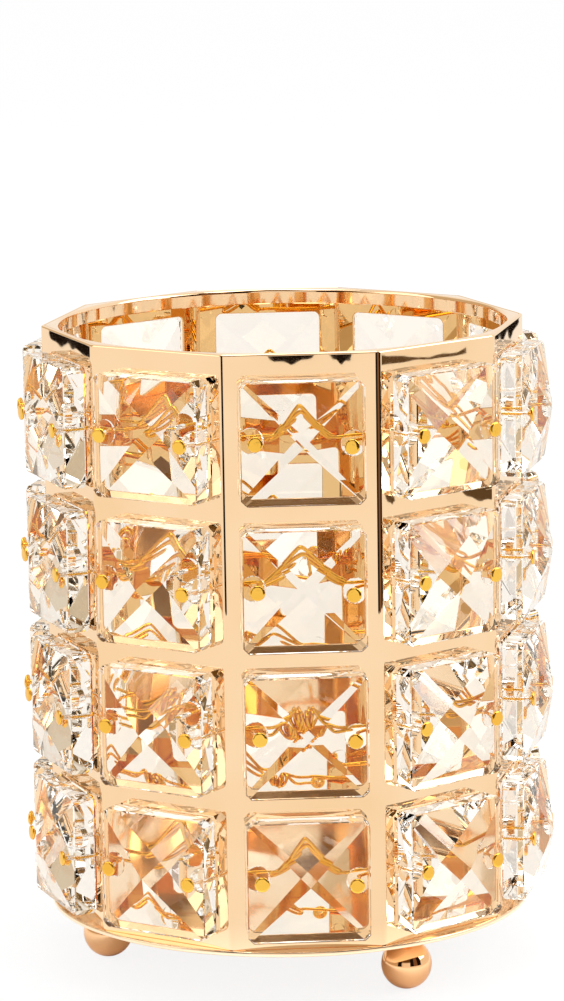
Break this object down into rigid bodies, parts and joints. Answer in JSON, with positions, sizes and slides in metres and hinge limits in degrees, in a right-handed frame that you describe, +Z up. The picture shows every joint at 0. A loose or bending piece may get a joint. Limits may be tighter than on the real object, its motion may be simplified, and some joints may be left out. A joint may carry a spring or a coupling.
{
  "type": "crystal brush holder",
  "caption": "Ten-sided gold-plated cup for makeup brushes or pens, its windows covered by faceted clear crystals wired on by headpins, on ball feet.",
  "frame": {"origin": "on the table under the middle of the barrel", "axes": "+Z up; -Y is the outward direction of the front panel"},
  "size_m": [0.1106, 0.113, 0.1345],
  "materials": {
    "gold_frame": "polished rose-gold plating",
    "gold_wire": "polished yellow-gold plating",
    "clear_crystal": "polished clear cut glass"
  },
  "bodies": {
    "root": {"frame_shell": "gold_frame", "top_rim": "gold_frame", "base_plate": "gold_frame", "ball_feet": "gold_frame", "crystal_row1_panel01": "clear_crystal", "crystal_row1_panel02": "clear_crystal", "crystal_row1_panel03": "clear_crystal", "crystal_row1_panel04": "clear_crystal", "crystal_row1_panel05": "clear_crystal", "crystal_row1_panel06": "clear_crystal", "crystal_row1_panel07": "clear_crystal", "crystal_row1_panel08": "clear_crystal", "crystal_row1_panel09": "clear_crystal", "crystal_row1_panel10": "clear_crystal", "crystal_row2_panel01": "clear_crystal", "crystal_row2_panel02": "clear_crystal", "crystal_row2_panel03": "clear_crystal", "crystal_row2_panel04": "clear_crystal", "crystal_row2_panel05": "clear_crystal", "crystal_row2_panel06": "clear_crystal", "crystal_row2_panel07": "clear_crystal", "crystal_row2_panel08": "clear_crystal", "crystal_row2_panel09": "clear_crystal", "crystal_row2_panel10": "clear_crystal", "crystal_row3_panel01": "clear_crystal", "crystal_row3_panel02": "clear_crystal", "crystal_row3_panel03": "clear_crystal", "crystal_row3_panel04": "clear_crystal", "crystal_row3_panel05": "clear_crystal", "crystal_row3_panel06": "clear_crystal", "crystal_row3_panel07": "clear_crystal", "crystal_row3_panel08": "clear_crystal", "crystal_row3_panel09": "clear_crystal", "crystal_row3_panel10": "clear_crystal", "crystal_row4_panel01": "clear_crystal", "crystal_row4_panel02": "clear_crystal", "crystal_row4_panel03": "clear_crystal", "crystal_row4_panel04": "clear_crystal", "crystal_row4_panel05": "clear_crystal", "crystal_row4_panel06": "clear_crystal", "crystal_row4_panel07": "clear_crystal", "crystal_row4_panel08": "clear_crystal", "crystal_row4_panel09": "clear_crystal", "crystal_row4_panel10": "clear_crystal", "headpins_row1": "gold_wire", "headpins_row2": "gold_wire", "headpins_row3": "gold_wire", "headpins_row4": "gold_wire"}
  },
  "joints": []
}
